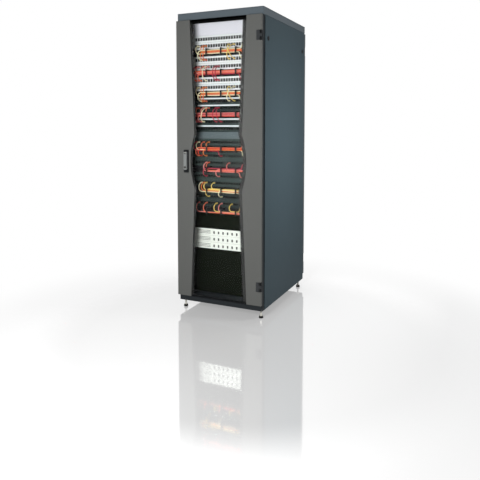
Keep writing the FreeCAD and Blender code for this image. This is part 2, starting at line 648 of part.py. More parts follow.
def blank_panel(middle, height):
    """A plate with its top and bottom edges folded back."""
    panel = plate(middle, height)
    for edge in (-1, 1):
        z = middle + edge * height / 2
        panel = panel.fuse(box(-FOLD_HALF_WIDTH, FOLD_HALF_WIDTH, Y_RAIL, Y_RAIL + FOLD_DEPTH,
                               z, z - edge * FOLD_SHEET))
    return panel


def blank_across(first_unit, last_unit):
    middle = (unit_middle(first_unit) + unit_middle(last_unit)) / 2
    return blank_panel(middle, RACK_UNIT * (last_unit - first_unit) + PANEL_HEIGHT)


# Server units and blank panels
SERVER_UNIT_HEIGHTS = (360.6, 405.1, 449.5)
SERVER_PORT_FIRST_X = -85.6
SERVER_PORT_PITCH = 33.0
LOW_JOINT_HEIGHT = 178.0
PANEL_GAP = 0.4


def server_unit(height):
    """A light unit: front bezel with cooling slots at the left and a row of ports at the right."""
    middle = Z_BODY + height
    bezel = box(-CASE_HALF_WIDTH, CASE_HALF_WIDTH, Y_RAIL, Y_RAIL + BEZEL_DEPTH,
                middle - CASE_HALF_HEIGHT, middle + CASE_HALF_HEIGHT)
    body = plate(middle).fuse(bezel).fuse(chassis(SERVER_DEPTH, middle))
    cuts = []
    for row in range(3):
        z = middle - 11 + 9 * row
        cuts.append(box(-212, -112, Y_PANEL, Y_PANEL + 6, z, z + 3))
    for column in range(8):
        x = SERVER_PORT_FIRST_X + SERVER_PORT_PITCH * column
        cuts.append(box(x - 5.5, x + 5.5, Y_PANEL, Y_PANEL + 10, middle - 11, middle + 6))
    return body.cut(Part.makeCompound(cuts))


def make_blanks():
    save("blank_panel_top", blank_across(39, 40))
    save("blank_panel_grey", blank_across(24, 24))
    units_low = Z_BODY + SERVER_UNIT_HEIGHTS[0] - PANEL_HEIGHT / 2
    units_high = Z_BODY + SERVER_UNIT_HEIGHTS[-1] + PANEL_HEIGHT / 2
    joint = Z_BODY + LOW_JOINT_HEIGHT
    spans = (
        (units_high, unit_middle(12) + RACK_UNIT / 2),
        (joint, units_low),
        (Z_BODY + FIRST_UNIT_BOTTOM, joint),
    )
    panels = [blank_panel((low + high) / 2, high - low - 2 * PANEL_GAP) for low, high in spans]
    save("blank_panels_black", *panels)
    save("server_units", *[server_unit(height) for height in SERVER_UNIT_HEIGHTS])


# Patch cords
JUMPER_OUT = (55.95, 62.65)
PORT_DEPTH = JACK_RECESS
FALLING_OUT = 42.0
RISING_OUT = FALLING_OUT + CORD_PITCH
TOP_LEVEL = 3
BEND = 0.45

# Jack numbers of each cord, left end first: falling cords go from the upper panel to the lower,
# rising cords from the lower to the upper, and returning cords from the upper back to it
FALLING = (
    ((1, 18), (3, 19), (4, 21)),
    ((0, 18), (1, 19), (3, 20), (5, 22)),
    ((1, 18), (3, 19), (4, 21)),
    ((0, 18), (1, 19), (3, 20), (5, 22)),
    ((0, 10), (1, 19), (3, 20), (5, 22)),
    ((4, 18), (5, 20), (13, 22)),
    ((2, 18), (3, 19), (4, 20), (7, 22)),
)
RISING = (
    ((2, 19), (3, 20), (4, 22)),
    ((0, 19), (1, 20), (2, 22)),
    ((2, 19), (3, 20), (4, 22)),
    ((0, 19), (1, 20), (2, 22)),
    ((1, 19), (2, 20), (4, 22)),
    ((4, 19), (9, 21)),
    ((5, 19), (10, 21)),
)
RETURNING = ((1, 22), (4, 21), (8, 20), (10, 19), (14, 18))

# Upper jack, lower jack and layer of each jumper
JUMPERS = (
    ((13, 15, 0), (15, 13, 1)),
    ((4, 4, 0), (8, 8, 0), (9, 9, 0)),
    ((13, 15, 0), (15, 13, 1)),
    ((4, 3, 0), (8, 8, 0), (9, 10, 0)),
    (),
    (),
    (),
    (),
)


def lane_route(row, out, level, first, last, start_side, end_side):
    """Points of a bundle cord: out of a jack, to its lane in the rings, along, and to its other jack."""
    middle = unit_middle(MANAGER_UNITS[row])
    y_lane = Y_PANEL - out
    z_lane = middle + (level - TOP_LEVEL / 2) * CORD_PITCH
    y_port = Y_PANEL + PORT_DEPTH
    z0, z1 = middle + start_side * RACK_UNIT, middle + end_side * RACK_UNIT
    x0, x1 = jack_x(first), jack_x(last)
    return [(x0, y_port, z0), (x0, y_lane, z0), (x0, y_lane, z_lane),
            (x1, y_lane, z_lane), (x1, y_lane, z1), (x1, y_port, z1)]


def jumper_route(row, first, last, layer):
    middle = unit_middle(MANAGER_UNITS[row])
    y_out = Y_PANEL - JUMPER_OUT[layer]
    y_port = Y_PANEL + PORT_DEPTH
    upper, lower = middle + RACK_UNIT, middle - RACK_UNIT
    x0, x1 = jack_x(first), jack_x(last)
    return [(x0, y_port, upper), (x0, y_out, upper), (x1, y_out, lower), (x1, y_port, lower)]


def row_routes(row):
    """All the routes at one manager; a later cord takes a lane nearer the panel that it leaves."""
    if row == len(FALLING):
        for lane, (first, last) in enumerate(RETURNING):
            level, column = divmod(lane, 2)
            yield lane_route(row, (FALLING_OUT, RISING_OUT)[column], level, first, last, 1, 1)
    else:
        for level, (first, last) in enumerate(FALLING[row]):
            yield lane_route(row, FALLING_OUT, level, first, last, 1, -1)
        for step, (first, last) in enumerate(RISING[row]):
            yield lane_route(row, RISING_OUT, TOP_LEVEL - step, first, last, -1, 1)
    for first, last, layer in JUMPERS[row]:
        yield jumper_route(row, first, last, layer)


def rounded_path(points):
    """Straight runs joined by tangent arcs, each as large as its two runs allow, and the path's length."""
    places = [Vec(*p) for p in points]
    edges, start, length, least = [], places[0], 0.0, 1e9
    for before, corner, after in zip(places, places[1:], places[2:]):
        back, ahead = before.sub(corner), after.sub(corner)
        reach = BEND * min(back.Length, ahead.Length)
        half_turn = (math.pi - back.getAngle(ahead)) / 2
        radius = reach / math.tan(half_turn)
        back.normalize()
        ahead.normalize()
        enter = corner.add(back * reach)
        leave = corner.add(ahead * reach)
        inward = (back + ahead).normalize()
        tip = corner.add(inward * (radius / math.cos(half_turn) - radius))
        edges.append(Part.makeLine(start, enter))
        edges.append(Part.Arc(enter, tip, leave).toShape())
        start, least = leave, min(least, radius)
    edges.append(Part.makeLine(start, places[-1]))
    wire = Part.Wire(edges)
    return wire, wire.Length, least


def cord(points):
    """A round tube swept along the rounded path, checked against its section times its length."""
    path, length, least = rounded_path(points)
    direction = Vec(*points[1]).sub(Vec(*points[0]))
    section = Part.Wire(Part.makeCircle(CORD_DIAMETER / 2, Vec(*points[0]), direction))
    solid = path.makePipeShell([section], True, False)
    expected = math.pi * CORD_DIAMETER ** 2 / 4 * length
    assert abs(solid.Volume - expected) < 0.02 * expected, (solid.Volume, expected)
    print(f"cord: length {length:.0f}, least radius {least:.1f}")
    return solid


def make_cords():
    groups = {"upper": (0, 1), "upper_middle": (2, 3), "lower_middle": (4, 5), "lower": (6, 7)}
    for name, rows in groups.items():
        save(f"patch_cords_{name}", *[cord(route) for row in rows for route in row_routes(row)])


os.makedirs("parts", exist_ok=True)
make_base()
make_feet()
make_top_frame()
make_roof()
make_posts()
make_rails()
make_depth_bars()
make_stiles()
make_glass()
make_hinges()
make_handle()
make_rear_door()
make_side_panels()
make_patch_panels()
make_switches()
make_cable_managers()
make_blanks()
make_cords()
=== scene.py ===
"""Network rack cabinet: paint, glass, panel faces, screws, handle trim, brushes and patch cords."""

import math

import bpy
from mathutils import Matrix, Vector


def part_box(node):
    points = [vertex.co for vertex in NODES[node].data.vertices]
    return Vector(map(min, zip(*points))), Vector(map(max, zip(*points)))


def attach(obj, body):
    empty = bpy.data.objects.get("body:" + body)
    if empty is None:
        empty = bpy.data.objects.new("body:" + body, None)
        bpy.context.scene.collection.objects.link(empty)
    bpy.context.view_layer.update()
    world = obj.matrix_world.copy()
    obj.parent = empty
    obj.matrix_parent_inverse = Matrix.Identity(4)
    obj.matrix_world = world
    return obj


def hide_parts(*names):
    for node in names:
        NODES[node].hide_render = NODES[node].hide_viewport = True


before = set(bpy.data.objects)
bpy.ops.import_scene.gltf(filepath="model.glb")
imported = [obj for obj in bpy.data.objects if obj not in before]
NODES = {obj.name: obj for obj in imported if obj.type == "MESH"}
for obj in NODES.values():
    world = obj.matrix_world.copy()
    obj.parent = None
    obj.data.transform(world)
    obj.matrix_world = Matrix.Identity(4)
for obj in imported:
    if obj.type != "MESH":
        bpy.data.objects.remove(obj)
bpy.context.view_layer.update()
MM = 0.001

# Places read from the frame: the panels' faces, the glass, the roof and the body's underside
PANEL_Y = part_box("blank_panel_top")[0][1]
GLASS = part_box("door_glass")
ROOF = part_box("roof_cover")
BODY_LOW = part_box("base_frame")[0][2]

# Panel field, counted in rack units from the lowest one
RACK_UNIT = 44.45 * MM
UNIT_COUNT = 40
FIELD_LOW = BODY_LOW + 43.1 * MM


def unit_middle(unit):
    return FIELD_LOW + RACK_UNIT * (unit - 0.5)


# Node groups shared by the finishes
def new_group(name, inputs, outputs):
    group = bpy.data.node_groups.new(name, "ShaderNodeTree")
    for label, kind, value in inputs:
        socket = group.interface.new_socket(label, in_out="INPUT", socket_type=kind)
        socket.default_value = value
    for label, kind in outputs:
        group.interface.new_socket(label, in_out="OUTPUT", socket_type=kind)
    return group, group.nodes.new("NodeGroupInput"), group.nodes.new("NodeGroupOutput")


def feed(tree, socket, value):
    """Links a node's output to a socket, or sets the socket to a plain value."""
    if isinstance(value, bpy.types.NodeSocket):
        tree.links.new(value, socket)
    else:
        socket.default_value = value


def maths(tree, operation, *values):
    node = tree.nodes.new("ShaderNodeMath")
    node.operation = operation
    for socket, value in zip(node.inputs, values):
        feed(tree, socket, value)
    return node.outputs[0]


def noise(tree, scale, detail, stretch=None):
    """Noise in Object coordinates, stretched along an axis where the finish has a direction."""
    place = tree.nodes.new("ShaderNodeTexCoord").outputs["Object"]
    if stretch:
        mapping = tree.nodes.new("ShaderNodeMapping")
        mapping.inputs["Scale"].default_value = stretch
        tree.links.new(place, mapping.inputs["Vector"])
        place = mapping.outputs["Vector"]
    node = tree.nodes.new("ShaderNodeTexNoise")
    for label, value in (("Vector", place), ("Scale", scale), ("Detail", detail)):
        feed(tree, node.inputs[label], value)
    return node.outputs["Fac"]


# Noise scales and strengths of a sprayed coat
FINE_GRAIN = 900.0
DRIFT_SCALE = 2.2
SCUFF_SCALE = 14.0
SPECK_TONE = 0.10
SCUFF_ROUGHNESS = 0.06


def coat_grain_group():
    """Powder coat: an orange-peel height, a drifting tone and a drifting roughness."""
    group, given, out = new_group(
        "coat_grain",
        (("Colour", "NodeSocketColor", (0.2, 0.2, 0.2, 1)),
         ("Grain Scale", "NodeSocketFloat", FINE_GRAIN),
         ("Tone", "NodeSocketFloat", 0.06),
         ("Roughness", "NodeSocketFloat", 0.45)),
        (("Colour", "NodeSocketColor"), ("Roughness", "NodeSocketFloat"), ("Height", "NodeSocketFloat")),
    )
    grain = noise(group, given.outputs["Grain Scale"], 3.0)
    drift = maths(group, "SUBTRACT", noise(group, DRIFT_SCALE, 3.0), 0.5)
    scuff = maths(group, "SUBTRACT", noise(group, SCUFF_SCALE, 4.0), 0.5)
    shade = maths(group, "MULTIPLY_ADD", drift, given.outputs["Tone"], 1.0)
    speck = maths(group, "MULTIPLY_ADD", grain, SPECK_TONE, 1.0 - SPECK_TONE / 2)
    tint = group.nodes.new("ShaderNodeVectorMath")
    tint.operation = "SCALE"
    group.links.new(given.outputs["Colour"], tint.inputs[0])
    group.links.new(maths(group, "MULTIPLY", shade, speck), tint.inputs["Scale"])
    scuffed = maths(group, "MULTIPLY_ADD", scuff, SCUFF_ROUGHNESS, given.outputs["Roughness"])
    group.links.new(tint.outputs["Vector"], out.inputs["Colour"])
    group.links.new(scuffed, out.inputs["Roughness"])
    group.links.new(grain, out.inputs["Height"])
    return group


def between_group():
    """1 where a coordinate lies between two limits, else 0."""
    group, given, out = new_group(
        "between",
        (("Value", "NodeSocketFloat", 0.0),
         ("Low", "NodeSocketFloat", 0.0),
         ("High", "NodeSocketFloat", 1.0)),
        (("Mask", "NodeSocketFloat"),),
    )
    above = maths(group, "GREATER_THAN", given.outputs["Value"], given.outputs["Low"])
    below = maths(group, "LESS_THAN", given.outputs["Value"], given.outputs["High"])
    group.links.new(maths(group, "MULTIPLY", above, below), out.inputs["Mask"])
    return group


COAT_GRAIN = coat_grain_group()
BETWEEN = between_group()


def use_group(tree, group, **values):
    node = tree.nodes.new("ShaderNodeGroup")
    node.node_tree = group
    for label, value in values.items():
        feed(tree, node.inputs[label.replace("_", " ")], value)
    return node


def new_material(name):
    material = bpy.data.materials.new(name)
    material.use_nodes = True
    return material, material.node_tree, material.node_tree.nodes["Principled BSDF"]


def coated(tree, shader, strength, depth, **values):
    """Gives a shader the coat's colour and roughness, and its height as a bump of a depth in metres."""
    coat = use_group(tree, COAT_GRAIN, **values)
    tree.links.new(coat.outputs["Colour"], shader.inputs["Base Color"])
    tree.links.new(coat.outputs["Roughness"], shader.inputs["Roughness"])
    bump = tree.nodes.new("ShaderNodeBump")
    bump.inputs["Strength"].default_value = strength
    bump.inputs["Distance"].default_value = depth
    tree.links.new(coat.outputs["Height"], bump.inputs["Height"])
    tree.links.new(bump.outputs["Normal"], shader.inputs["Normal"])


def srgb(red, green, blue):
    """A colour written in display values from 0 to 255, made linear."""
    parts = [c / 255 for c in (red, green, blue)]
    return tuple(c / 12.92 if c <= 0.04045 else ((c + 0.055) / 1.055) ** 2.4 for c in parts) + (1.0,)


def mix_colours(tree, mask, first, second):
    """The first colour where the mask is 0, the second where it is 1."""
    node = tree.nodes.new("ShaderNodeMix")
    node.data_type = "RGBA"
    tree.links.new(mask, node.inputs[0])
    node.inputs[6].default_value = first
    node.inputs[7].default_value = second
    return node.outputs[2]


def blend(tree, mask, first, second):
    """The first shader where the mask is 0, the second where it is 1."""
    node = tree.nodes.new("ShaderNodeMixShader")
    for socket, value in zip(node.inputs, (mask, first, second)):
        tree.links.new(value, socket)
    return node.outputs[0]


def powder_coat(name, colour, roughness=0.45, grain=FINE_GRAIN, tone=0.12, metallic=0.0, gloss=0.5):
    """A sprayed and baked finish."""
    material, tree, shader = new_material(name)
    shader.inputs["Metallic"].default_value = metallic
    shader.inputs["Specular IOR Level"].default_value = gloss
    coated(tree, shader, 0.35, 0.06 * MM, Colour=colour, Grain_Scale=grain, Tone=tone,
           Roughness=roughness)
    return material


def axis_value(tree, axis):
    place = tree.nodes.new("ShaderNodeTexCoord").outputs["Object"]
    split = tree.nodes.new("ShaderNodeSeparateXYZ")
    tree.links.new(place, split.inputs[0])
    return split.outputs[axis]


def split_coat(name, colour, other, axis, low, high, roughness=0.45, gloss=0.5):
    """A coat in another colour where the axis lies between low and high."""
    material, tree, shader = new_material(name)
    shader.inputs["Specular IOR Level"].default_value = gloss
    mask = use_group(tree, BETWEEN, Value=axis_value(tree, axis), Low=low, High=high).outputs["Mask"]
    coated(tree, shader, 0.3, 0.05 * MM, Colour=mix_colours(tree, mask, colour, other), Tone=0.1,
           Roughness=roughness)
    return material


# Glass: refraction, and the roughness that smears give it at most
GLASS_IOR = 1.12
GLASS_SMEAR = 0.03


def clear_glass(name):
    """Clear to light from the lamps, so that what is behind it is lit through it."""
    material, tree, shader = new_material(name)
    shader.inputs["Base Color"].default_value = srgb(250, 252, 251)
    shader.inputs["Transmission Weight"].default_value = 1.0
    shader.inputs["IOR"].default_value = GLASS_IOR
    smear = noise(tree, 9.0, 3.0, (1, 1, 0.3))
    tree.links.new(maths(tree, "MULTIPLY", smear, GLASS_SMEAR), shader.inputs["Roughness"])
    passing = tree.nodes.new("ShaderNodeBsdfTransparent")
    passing.inputs["Color"].default_value = srgb(252, 253, 253)
    path = tree.nodes.new("ShaderNodeLightPath")
    indirect = maths(tree, "MAXIMUM", path.outputs["Is Shadow Ray"], path.outputs["Is Diffuse Ray"])
    mixed = blend(tree, indirect, shader.outputs[0], passing.outputs[0])
    tree.links.new(mixed, tree.nodes["Material Output"].inputs["Surface"])
    return material


# Painted shadow of the stiles on the glass: speckles to a metre, the fade across the band, and how
# ragged the speckles make it
SHADOW_SPECKLES = 420.0
SHADOW_FADE = (4.0, -0.2)
SHADOW_RAGGED = (0.3, -0.15)


def stile_shadow_finish(name):
    """Painted shadow of the stile: black on the glass that thins out towards its inner edge, along the
    band's own UV map.
    """
    material, tree, shader = new_material(name)
    across = tree.nodes.new("ShaderNodeSeparateXYZ")
    tree.links.new(tree.nodes.new("ShaderNodeTexCoord").outputs["UV"], across.inputs[0])
    shade_speckle = noise(tree, SHADOW_SPECKLES, 0.0)
    fade = maths(tree, "MULTIPLY_ADD", across.outputs["X"], *SHADOW_FADE)
    ragged = maths(tree, "ADD", fade, maths(tree, "MULTIPLY_ADD", shade_speckle, *SHADOW_RAGGED))
    clipped = tree.nodes.new("ShaderNodeClamp")
    tree.links.new(ragged, clipped.inputs["Value"])
    tree.links.new(clipped.outputs[0], shader.inputs["Alpha"])
    tree.links.new(mix_colours(tree, shade_speckle, srgb(10, 10, 10), srgb(18, 17, 17)),
                   shader.inputs["Base Color"])
    shader.inputs["Roughness"].default_value = 0.4
    return material


def cord_jacket(name, colour):
    """Soft PVC: slightly glossy, with faint mottling and a low grain."""
    material, tree, shader = new_material(name)
    coated(tree, shader, 0.2, 0.04 * MM, Colour=colour, Grain_Scale=500.0, Tone=0.25, Roughness=0.42)
    return material


# Where a panel's openings and a foot's pad show their other colour: axis, low and high
OPENINGS = ("Y", PANEL_Y + 1.2 * MM, 1.0)
FOOT_PAD = ("Z", -1.0, 15 * MM)

# Finishes
finish = {
    "door": powder_coat("door_powder_coat", srgb(92, 93, 91), 0.45, gloss=0.12),
    "hood": powder_coat("hood_powder_coat", srgb(87, 96, 102), 0.42, gloss=0.2),
    # the cabinet's grey, made darker for the side panels as painted shade
    "side": powder_coat("side_coat_painted_shade", srgb(63, 76, 82), 0.45, gloss=0.06),
    "rear": powder_coat("rear_powder_coat", srgb(98, 104, 107), 0.45),
    "frame": powder_coat("frame_powder_coat", srgb(36, 40, 43), 0.5, gloss=0.25),
    "rail": powder_coat("rail_coat", srgb(30, 33, 33), 0.5),
    "black": powder_coat("black_coat", srgb(24, 25, 27), 0.5, gloss=0.3),
    "hinge": powder_coat("hinge_coat", srgb(44, 46, 48), 0.5),
    "handle": powder_coat("handle_coat", srgb(120, 123, 122), 0.4),
    "blank_black": powder_coat("black_panel_coat", srgb(9, 13, 7), 0.6, tone=0.3, gloss=0.05),
    "blank_light": powder_coat("light_panel_coat", srgb(230, 228, 236), 0.45, tone=0.05, gloss=0.25),
    "blank_grey": powder_coat("grey_panel_coat", srgb(92, 102, 105), 0.5, gloss=0.2),
    "zinc": powder_coat("zinc_plate", srgb(190, 190, 184), 0.32, grain=1500.0, metallic=0.85),
    "chrome": powder_coat("turned_metal", srgb(205, 205, 200), 0.22, grain=2000.0, metallic=1.0),
    "rubber": powder_coat("rubber_black", srgb(22, 22, 22), 0.7),
    "brush": powder_coat("brush_black", srgb(18, 18, 18), 0.85),
    "label": powder_coat("label_strip", srgb(222, 230, 232), 0.35, tone=0.03),
    "port_black": powder_coat("port_black", srgb(10, 11, 11), 0.5),
    "foot": split_coat("foot_pad_and_stem", srgb(200, 198, 190), srgb(20, 20, 20), *FOOT_PAD, 0.35),
    "jack_light": split_coat("light_jack_panel", srgb(232, 235, 236), srgb(12, 14, 14), *OPENINGS),
    "jack_dark": split_coat("dark_jack_panel", srgb(44, 54, 53), srgb(6, 7, 7), *OPENINGS, gloss=0.2),
    "switch": split_coat("switch_panel", srgb(54, 66, 64), srgb(7, 8, 8), *OPENINGS, gloss=0.2),
    "server": split_coat("server_bezel", srgb(246, 248, 240), srgb(92, 94, 90), *OPENINGS),
    "glass": clear_glass("door_glass_clear"),
    # painted shadow of the stiles, as black fading out on the glass
    "border": stile_shadow_finish("painted_stile_shadow"),
}
CORD_COLOURS = {
    "orange": srgb(238, 132, 66), "coral": srgb(236, 116, 84), "pink": srgb(240, 142, 134),
    "crimson": srgb(190, 52, 72), "red": srgb(214, 66, 46), "yellow": srgb(246, 214, 118),
    "cream": srgb(250, 240, 200),
}
jacket = {name: cord_jacket(f"cord_{name}", colour) for name, colour in CORD_COLOURS.items()}

NODE_FINISHES = {
    "base_frame": "frame", "top_frame": "hood", "roof_cover": "hood", "corner_posts": "frame",
    "rack_rail": "rail", "rail_depth_bars": "rail", "door_stile": "door", "door_glass": "glass",
    "door_end_channels": "black", "door_hinge": "hinge", "rear_hinge": "black",
    "hinge_brackets": "black",
    "handle_base": "black", "handle_lever": "handle", "handle_spindle": "zinc", "latch_cam": "zinc",
    "handle_lock": "chrome", "rear_door": "rear", "rear_lock": "black", "side_panel": "side",
    "side_lock": "black", "levelling_foot": "foot", "foot_lock_nuts": "zinc", "cable_manager": "black",
    "patch_panels_a": "jack_light", "patch_panels_b": "jack_light", "patch_panels_c": "jack_light",
    "patch_panels": "jack_dark", "port_panels": "jack_dark", "switch": "switch",
    "server_units": "server", "blank_panel_top": "blank_light", "blank_panel_grey": "blank_grey",
    "blank_panels_black": "blank_black", "patch_cords": "rubber",
}


def paint_nodes():
    """Gives each CAD node the finish of the longest name part that it starts with."""
    for name, node in NODES.items():
        match = max((key for key in NODE_FINISHES if name.startswith(key)), key=len)
        for material_slot in node.material_slots:
            material_slot.material = finish[NODE_FINISHES[match]]


paint_nodes()


# Modelling helpers
def begin():
    bpy.ops.object.select_all(action="DESELECT")


def settle(piece, name, material):
    """Names a piece, gives it its finish and puts its place into its mesh."""
    begin()
    piece.select_set(True)
    bpy.context.view_layer.objects.active = piece
    bpy.ops.object.transform_apply(location=True, rotation=True, scale=True)
    piece.name = name
    piece.data.name = name
    piece.data.materials.clear()
    piece.data.materials.append(material)
    return piece


def block(name, low, high, material, edge):
    """A block between two corners, its edges softened by a bevel as wide as edge."""
    begin()
    middle = [(a + b) / 2 for a, b in zip(low, high)]
    bpy.ops.mesh.primitive_cube_add(size=1, location=middle)
    piece = bpy.context.object
    piece.scale = [b - a for a, b in zip(low, high)]
    settle(piece, name, material)
    bevel = piece.modifiers.new("edge", "BEVEL")
    bevel.width = edge
    bevel.segments = 2
    bevel.limit_method = "ANGLE"
    bpy.ops.object.modifier_apply(modifier=bevel.name)
    return piece


TURNED_SIDES = 12


def turned(name, centre, axis, rings, material):
    """A disc at the first ring, drawn out through the rings: distance along the axis and radius."""
    begin()
    height, radius = rings[0]
    bpy.ops.mesh.primitive_circle_add(vertices=TURNED_SIDES, radius=radius, fill_type="NGON")
    piece = bpy.context.object
    bpy.ops.object.mode_set(mode="EDIT")
    bpy.ops.mesh.select_all(action="SELECT")
    bpy.ops.transform.translate(value=(0, 0, height))
    for next_height, next_radius in rings[1:]:
        move = (0, 0, next_height - height)
        bpy.ops.mesh.extrude_region_move(TRANSFORM_OT_translate={"value": move})
        ratio = next_radius / radius
        bpy.ops.transform.resize(value=(ratio, ratio, 1), center_override=(0, 0, 0))
        height, radius = next_height, next_radius
    bpy.ops.mesh.select_all(action="SELECT")
    bpy.ops.mesh.normals_make_consistent(inside=False)
    bpy.ops.object.mode_set(mode="OBJECT")
    piece.rotation_euler = Vector((0, 0, 1)).rotation_difference(Vector(axis)).to_euler()
    piece.location = centre
    settle(piece, name, material)
    bpy.ops.object.shade_smooth_by_angle(angle=math.radians(35))
    return piece


def copied(piece, offset):
    """A copy with its own mesh, moved by the offset inside that mesh."""
    twin = piece.copy()
    twin.data = piece.data.copy()
    bpy.context.collection.objects.link(twin)
    twin.data.transform(Matrix.Translation(offset))
    return twin


def joined(pieces, name):
    begin()
    for piece in pieces:
        piece.select_set(True)
    bpy.context.view_layer.objects.active = pieces[0]
    bpy.ops.object.join()
    pieces[0].name = name
    pieces[0].data.name = name
    return pieces[0]


def carried(piece, body):
    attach(piece, body)
    return piece


# Camera: focal length in pixels of the frame, place, turn and tilt in radians
FRAME_PIXELS = 480
FOCAL_PIXELS = 541.07
SENSOR_WIDTH = 36.0
CAMERA_PLACE = (1.54615, -3.43268, 1.2136)
CAMERA_YAW = 0.4318
CAMERA_PITCH = 0.06712
CAMERA_SHIFT = -0.165


def place_camera():
    bpy.ops.object.camera_add(location=CAMERA_PLACE,
                              rotation=(math.pi / 2 - CAMERA_PITCH, 0, CAMERA_YAW))
    camera = bpy.context.object
    camera.data.sensor_width = SENSOR_WIDTH
    camera.data.lens = FOCAL_PIXELS / FRAME_PIXELS * SENSOR_WIDTH
    camera.data.shift_y = CAMERA_SHIFT
    camera.data.clip_end = 100.0
    bpy.context.scene.camera = camera


place_camera()


# Patch cords: routes as in the solids, in millimetres, turned to metres when drawn
CORD_RADIUS = 2.8
CORD_PITCH = 6.7
JACK_COUNT = 24
JACK_PITCH = 18.4
JACK_FIRST_X = -JACK_PITCH * (JACK_COUNT - 1) / 2
JUMPER_OUT = (55.95, 62.65)
PORT_DEPTH = 12.0
FALLING_OUT = 42.0
RISING_OUT = FALLING_OUT + CORD_PITCH
TOP_LEVEL = 3
MANAGER_UNITS = (36, 33, 30, 27, 22, 19, 16, 13)

# Jack numbers and colour of each cord, left end first. Falling cords go from the upper panel to
# the lower, rising cords from the lower to the upper, and returning cords back to the upper
FALLING = (
    ((1, 18, "cream"), (3, 19, "orange"), (4, 21, "orange")),
    ((0, 18, "crimson"), (1, 19, "pink"), (3, 20, "coral"), (5, 22, "pink")),
    ((1, 18, "cream"), (3, 19, "orange"), (4, 21, "orange")),
    ((0, 18, "red"), (1, 19, "coral"), (3, 20, "pink"), (5, 22, "coral")),
    ((0, 10, "crimson"), (1, 19, "cream"), (3, 20, "coral"), (5, 22, "orange")),
    ((4, 18, "pink"), (5, 20, "coral"), (13, 22, "pink")),
    ((2, 18, "cream"), (3, 19, "orange"), (4, 20, "yellow"), (7, 22, "yellow")),
)
RISING = (
    ((2, 19, "cream"), (3, 20, "orange"), (4, 22, "coral")),
    ((0, 19, "coral"), (1, 20, "pink"), (2, 22, "coral")),
    ((2, 19, "cream"), (3, 20, "orange"), (4, 22, "coral")),
    ((0, 19, "pink"), (1, 20, "crimson"), (2, 22, "pink")),
    ((1, 19, "coral"), (2, 20, "red"), (4, 22, "orange")),
    ((4, 19, "crimson"), (9, 21, "pink")),
    ((5, 19, "yellow"), (10, 21, "cream")),
)
RETURNING = ((1, 22, "pink"), (4, 21, "coral"), (8, 20, "yellow"), (10, 19, "pink"), (14, 18, "yellow"))

# Upper jack, lower jack, layer and colour of each jumper
JUMPERS = (
    ((13, 15, 0, "yellow"), (15, 13, 1, "yellow")),
    ((4, 4, 0, "cream"), (8, 8, 0, "crimson"), (9, 9, 0, "crimson")),
    ((13, 15, 0, "yellow"), (15, 13, 1, "cream")),
    ((4, 3, 0, "cream"), (8, 8, 0, "crimson"), (9, 10, 0, "crimson")),
    (),
    (),
    (),
    (),
)
ROW_GROUPS = {"upper": (0, 1), "upper_middle": (2, 3), "lower_middle": (4, 5), "lower": (6, 7)}


def jack_x(number):
    return JACK_FIRST_X + JACK_PITCH * number


def lane_route(row, out, level, first, last, start_side, end_side):
    """Out of a jack, to its lane, straight along the rings, and to its other jack."""
    middle = unit_middle(MANAGER_UNITS[row]) / MM
    y_lane = PANEL_Y / MM - out
    z_lane = middle + (level - TOP_LEVEL / 2) * CORD_PITCH
    y_port = PANEL_Y / MM + PORT_DEPTH
    z0, z1 = (middle + side * RACK_UNIT / MM for side in (start_side, end_side))
    x0, x1 = jack_x(first), jack_x(last)
    x_join, x_part = x0 + abs(z0 - z_lane), x1 - abs(z1 - z_lane)
    return [(x0, y_port, z0), (x0, y_lane, z0), (x0, y_lane, z_lane), (x_join, y_lane, z_lane),
            (x_part, y_lane, z_lane), (x1, y_lane, z_lane), (x1, y_lane, z1), (x1, y_port, z1)]


def jumper_route(row, first, last, layer):
    """From a jack of the upper panel down to one of the lower, in front of the rings."""
    middle = unit_middle(MANAGER_UNITS[row]) / MM
    y_out = PANEL_Y / MM - JUMPER_OUT[layer]
    y_port = PANEL_Y / MM + PORT_DEPTH
    upper, lower = middle + RACK_UNIT / MM, middle - RACK_UNIT / MM
    x0, x1 = jack_x(first), jack_x(last)
    return [(x0, y_port, upper), (x0, y_out, upper), (x1, y_out, lower), (x1, y_port, lower)]


def row_routes(row):
    """The route and colour of every cord at one manager, as in the solids."""
    if row == len(FALLING):
        for lane, (first, last, colour) in enumerate(RETURNING):
            level, column = divmod(lane, 2)
            yield lane_route(row, (FALLING_OUT, RISING_OUT)[column], level, first, last, 1, 1), colour
    else:
        for level, (first, last, colour) in enumerate(FALLING[row]):
            yield lane_route(row, FALLING_OUT, level, first, last, 1, -1), colour
        for step, (first, last, colour) in enumerate(RISING[row]):
            yield lane_route(row, RISING_OUT, TOP_LEVEL - step, first, last, -1, 1), colour
    for first, last, layer, colour in JUMPERS[row]:
        yield jumper_route(row, first, last, layer), colour


def cord_curve(name, points, colour):
    """A round cord on one smooth NURBS line through its route's points."""
    curve = bpy.data.curves.new(name, "CURVE")
    curve.dimensions = "3D"
    spline = curve.splines.new("NURBS")
    spline.points.add(len(points) - 1)
    for target, point in zip(spline.points, points):
        target.co = (*[c * MM for c in point], 1.0)
    spline.order_u = 3
    spline.use_endpoint_u = True
    spline.resolution_u = 10
    curve.bevel_depth = CORD_RADIUS * MM
    curve.bevel_resolution = 3
    curve.use_fill_caps = True
    cord = bpy.data.objects.new(name, curve)
    bpy.context.collection.objects.link(cord)
    begin()
    cord.select_set(True)
    bpy.context.view_layer.objects.active = cord
    bpy.ops.object.convert(target="MESH")
    bpy.ops.object.shade_smooth()
    cord.data.materials.clear()
    cord.data.materials.append(jacket[colour])
    return cord


# The plug's moulded sleeve: distance out of the panel's face and radius of each ring
BOOT_RINGS = ((-6, 5.2), (0.5, 5.2), (1.5, 4.4), (4, 4.4), (5, 5.0), (7, 5.0), (8, 4.0), (14, 3.4),
              (20, 3.0))


